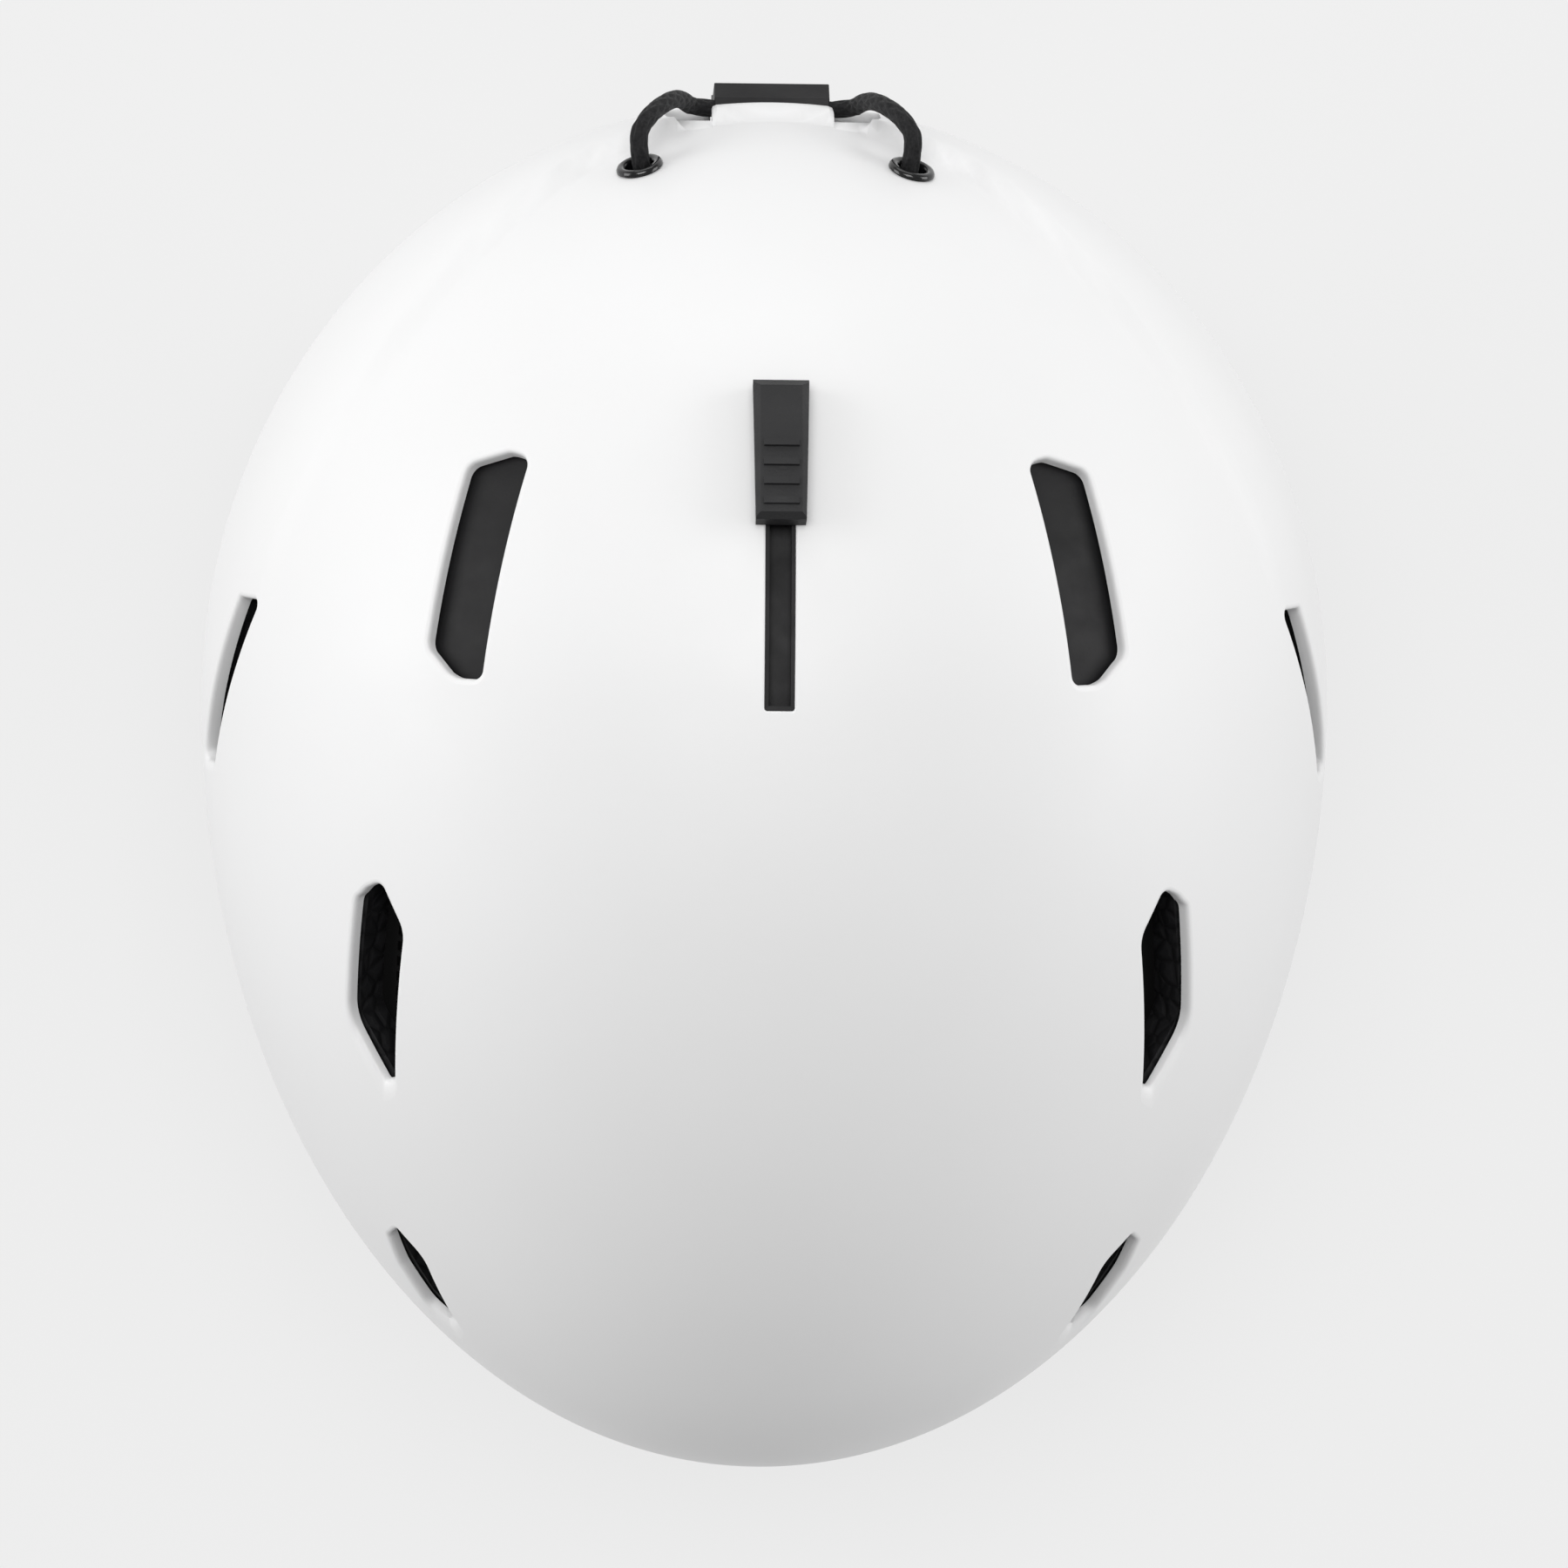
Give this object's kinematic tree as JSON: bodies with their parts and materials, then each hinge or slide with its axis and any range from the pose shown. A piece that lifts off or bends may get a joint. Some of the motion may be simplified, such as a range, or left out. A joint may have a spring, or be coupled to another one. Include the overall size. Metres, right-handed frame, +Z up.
{
  "type": "ski helmet",
  "caption": "Hard-shell ski helmet with sliding vent shutter, goggle cord and clip, foam liner, fit dial, ear pads and buckled chin strap.",
  "frame": {"origin": "middle of the footprint on the surface the helmet stands on", "axes": "+Z up through the crown, -Y to the front (brow), +X to the wearer's left"},
  "size_m": [0.224, 0.2748, 0.1712],
  "materials": {
    "shell": "fine matte white paint over moulded plastic",
    "trim": "soft black edge",
    "mesh": "black",
    "cord": "braided black elastic",
    "grommet": "polished black",
    "clip": "satin black",
    "metal": "plain",
    "knob": "fine grained dark grey",
    "shutter": "satin black",
    "padding": "brushed black lining",
    "fit_plastic": "black moulded",
    "webbing": "woven black",
    "buckle": "black moulded",
    "rubber": "black",
    "ear_fabric": "black knitted",
    "dial": "soft grip",
    "foam": "black expanded bead foam"
  },
  "bodies": {
    "root": {"brow_pad": "padding", "buckle_socket": "buckle", "chin_pad": "padding", "chin_web_left": "webbing", "chin_web_right": "webbing", "clip_catch": "metal", "cord_stop_left": "grommet", "cord_stop_right": "grommet", "crown_pads": "padding", "dial_backplate": "fit_plastic", "dial_housing": "fit_plastic", "eps_liner": "foam", "eyelet_left": "grommet", "eyelet_right": "grommet", "fit_band_left": "fit_plastic", "fit_band_right": "fit_plastic", "fit_stem": "fit_plastic", "front_vent_mesh": "mesh", "goggle_cord": "cord", "mid_vent_mesh": "mesh", "nape_pad": "padding", "outer_shell": "shell", "rear_pads": "padding", "rim_trim": "trim", "side_pads": "padding", "side_strap_left": "webbing", "side_strap_right": "webbing", "side_vent_mesh": "mesh", "strap_anchors": "fit_plastic", "strap_divider_left": "buckle", "strap_divider_right": "buckle", "strap_keeper": "rubber", "temple_pins": "fit_plastic"},
    "vent_slider": {"slider_knob": "knob", "vent_shutter": "shutter", "slider_screw": "metal"},
    "goggle_clip_body": {"goggle_clip": "clip"},
    "dial_body": {"fit_dial": "dial", "dial_pinion": "fit_plastic"},
    "rack_left_body": {"fit_rack_left": "fit_plastic"},
    "rack_right_body": {"fit_rack_right": "fit_plastic"},
    "buckle_plug_body": {"buckle_plug": "buckle"},
    "ear_pad_left_body": {"ear_pad_left": "ear_fabric", "ear_frame_left": "fit_plastic"},
    "ear_pad_right_body": {"ear_pad_right": "ear_fabric", "ear_frame_right": "fit_plastic"}
  },
  "joints": [
    {"name": "vent_slide", "type": "hinge", "parent": "root", "child": "vent_slider", "pos_m": [0, 0.01505, 0.0428], "axis": [1, 0, 0], "range_deg": [0, 13]},
    {"name": "clip_pivot", "type": "hinge", "parent": "root", "child": "goggle_clip_body", "pos_m": [0, 0.13195, 0.074], "axis": [1, 0, 0], "range_deg": [0, 60]},
    {"name": "dial_spin", "type": "hinge", "parent": "root", "child": "dial_body", "pos_m": [0, 0.10305, 0.015], "axis": [0, 1, 0], "range_deg": [0, 90]},
    {"name": "rack_left_slide", "type": "slide", "parent": "root", "child": "rack_left_body", "axis": [-1, 0, 0], "range_m": [0, 0.008], "deforming": ["fit_band_left"]},
    {"name": "rack_right_slide", "type": "slide", "parent": "root", "child": "rack_right_body", "axis": [1, 0, 0], "range_m": [0, 0.008], "deforming": ["fit_band_right"]},
    {"name": "buckle_slide", "type": "slide", "parent": "root", "child": "buckle_plug_body", "axis": [1, 0, 0], "range_m": [0, 0.025], "deforming": ["chin_web_left"]},
    {"name": "ear_pad_left_slide", "type": "slide", "parent": "root", "child": "ear_pad_left_body", "axis": [0, 0, -1], "range_m": [0, 0.04]},
    {"name": "ear_pad_right_slide", "type": "slide", "parent": "root", "child": "ear_pad_right_body", "axis": [0, 0, -1], "range_m": [0, 0.04]}
  ],
  "couplings": [
    {"joint": "rack_left_slide", "follows": "dial_spin", "m_per_rad": 0.005},
    {"joint": "rack_right_slide", "follows": "dial_spin", "m_per_rad": 0.005}
  ]
}
